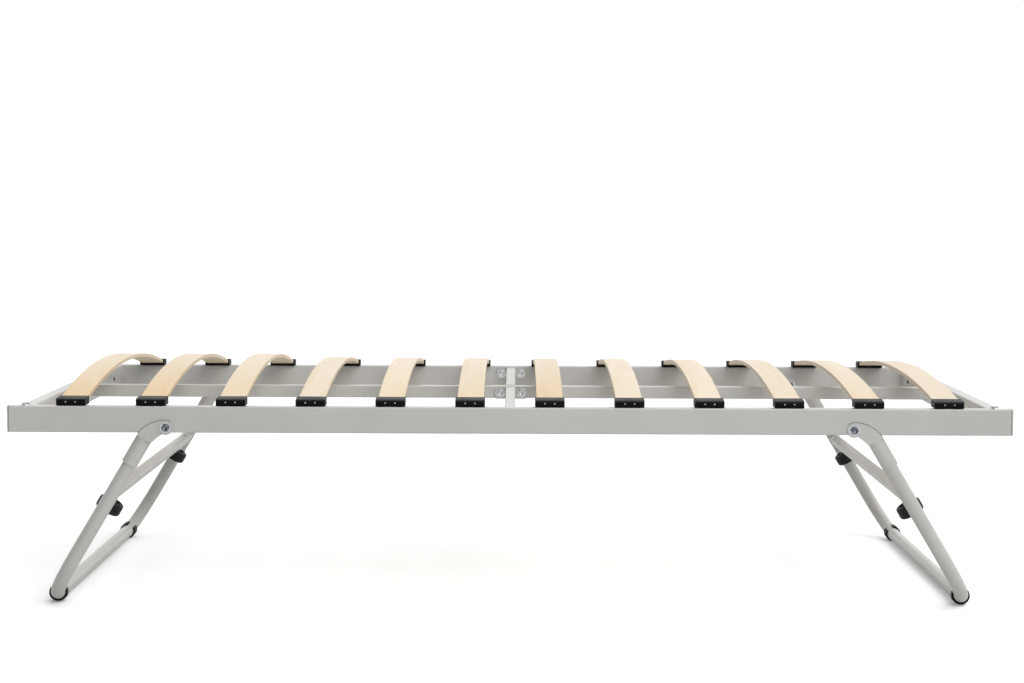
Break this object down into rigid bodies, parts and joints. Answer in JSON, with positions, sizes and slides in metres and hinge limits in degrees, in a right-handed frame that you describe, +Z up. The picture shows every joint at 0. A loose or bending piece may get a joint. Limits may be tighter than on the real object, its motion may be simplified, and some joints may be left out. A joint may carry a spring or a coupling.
{
  "type": "folding bed frame",
  "caption": "Low single bed frame of grey steel tube with bowed wooden slats in black end holders, folding splayed U-legs and storage rollers.",
  "frame": {"origin": "on the floor under the middle of the bed", "axes": "+X along the bed to the foot end, +Y across to the rear side, +Z up"},
  "size_m": [1.9, 0.919, 0.4473],
  "materials": {
    "painted_steel": "satin powder coat, light warm grey",
    "zinc": "bright zinc plate",
    "grey_plastic": "matt moulded",
    "black_plastic": "satin moulded",
    "black_roller": "matt moulded",
    "birch": "clear satin varnish"
  },
  "bodies": {
    "frame": {"front_side_rail": "painted_steel", "rear_side_rail": "painted_steel", "left_end_rail": "painted_steel", "right_end_rail": "painted_steel", "centre_rail": "painted_steel", "front_cross_bar": "painted_steel", "rear_cross_bar": "painted_steel", "cross_bar_flanges": "painted_steel", "cross_bar_bolts": "zinc", "cross_bar_washers": "zinc", "cross_bar_nuts": "zinc", "side_rail_end_caps": "grey_plastic", "corner_tongues": "painted_steel", "corner_bolts": "zinc", "corner_nuts": "zinc", "end_rail_plugs": "black_plastic", "slat_01": "birch", "slat_02": "birch", "slat_03": "birch", "slat_04": "birch", "slat_05": "birch", "slat_06": "birch", "slat_07": "birch", "slat_08": "birch", "slat_09": "birch", "slat_10": "birch", "slat_11": "birch", "slat_12": "birch", "front_slat_holders": "black_plastic", "rear_slat_holders": "black_plastic", "holder_studs": "grey_plastic", "pivot_bolts": "zinc", "pivot_washers": "zinc", "pivot_nuts": "zinc"},
    "left_leg": {"left_leg_tube": "painted_steel", "left_leg_brace": "painted_steel", "front_left_bracket": "painted_steel", "rear_left_bracket": "painted_steel", "left_leg_plugs": "black_plastic", "left_glides": "black_plastic", "left_roller_bolts": "zinc", "left_roller_spacers": "zinc", "left_roller_nuts": "zinc"},
    "right_leg": {"right_leg_tube": "painted_steel", "right_leg_brace": "painted_steel", "front_right_bracket": "painted_steel", "rear_right_bracket": "painted_steel", "right_leg_plugs": "black_plastic", "right_glides": "black_plastic", "right_roller_bolts": "zinc", "right_roller_spacers": "zinc", "right_roller_nuts": "zinc"},
    "front_left_roller_body": {"front_left_roller": "black_roller"},
    "front_right_roller_body": {"front_right_roller": "black_roller"},
    "rear_left_roller_body": {"rear_left_roller": "black_roller"},
    "rear_right_roller_body": {"rear_right_roller": "black_roller"}
  },
  "joints": [
    {"name": "left_leg_fold", "type": "hinge", "parent": "frame", "child": "left_leg", "pos_m": [-0.65, 0, 0.352], "axis": [0, -1, 0], "range_deg": [0, 120]},
    {"name": "right_leg_fold", "type": "hinge", "parent": "frame", "child": "right_leg", "pos_m": [0.65, 0, 0.352], "axis": [0, 1, 0], "range_deg": [0, 120]},
    {"name": "front_left_roller_spin", "type": "hinge", "parent": "left_leg", "child": "front_left_roller_body", "pos_m": [-0.77297, -0.374, 0.19127], "axis": [0.5113, 0, 0.8594], "continuous": true},
    {"name": "rear_left_roller_spin", "type": "hinge", "parent": "left_leg", "child": "rear_left_roller_body", "pos_m": [-0.77297, 0.374, 0.19127], "axis": [0.5113, 0, 0.8594], "continuous": true},
    {"name": "front_right_roller_spin", "type": "hinge", "parent": "right_leg", "child": "front_right_roller_body", "pos_m": [0.77297, -0.374, 0.19127], "axis": [-0.5113, 0, 0.8594], "continuous": true},
    {"name": "rear_right_roller_spin", "type": "hinge", "parent": "right_leg", "child": "rear_right_roller_body", "pos_m": [0.77297, 0.374, 0.19127], "axis": [-0.5113, 0, 0.8594], "continuous": true}
  ]
}
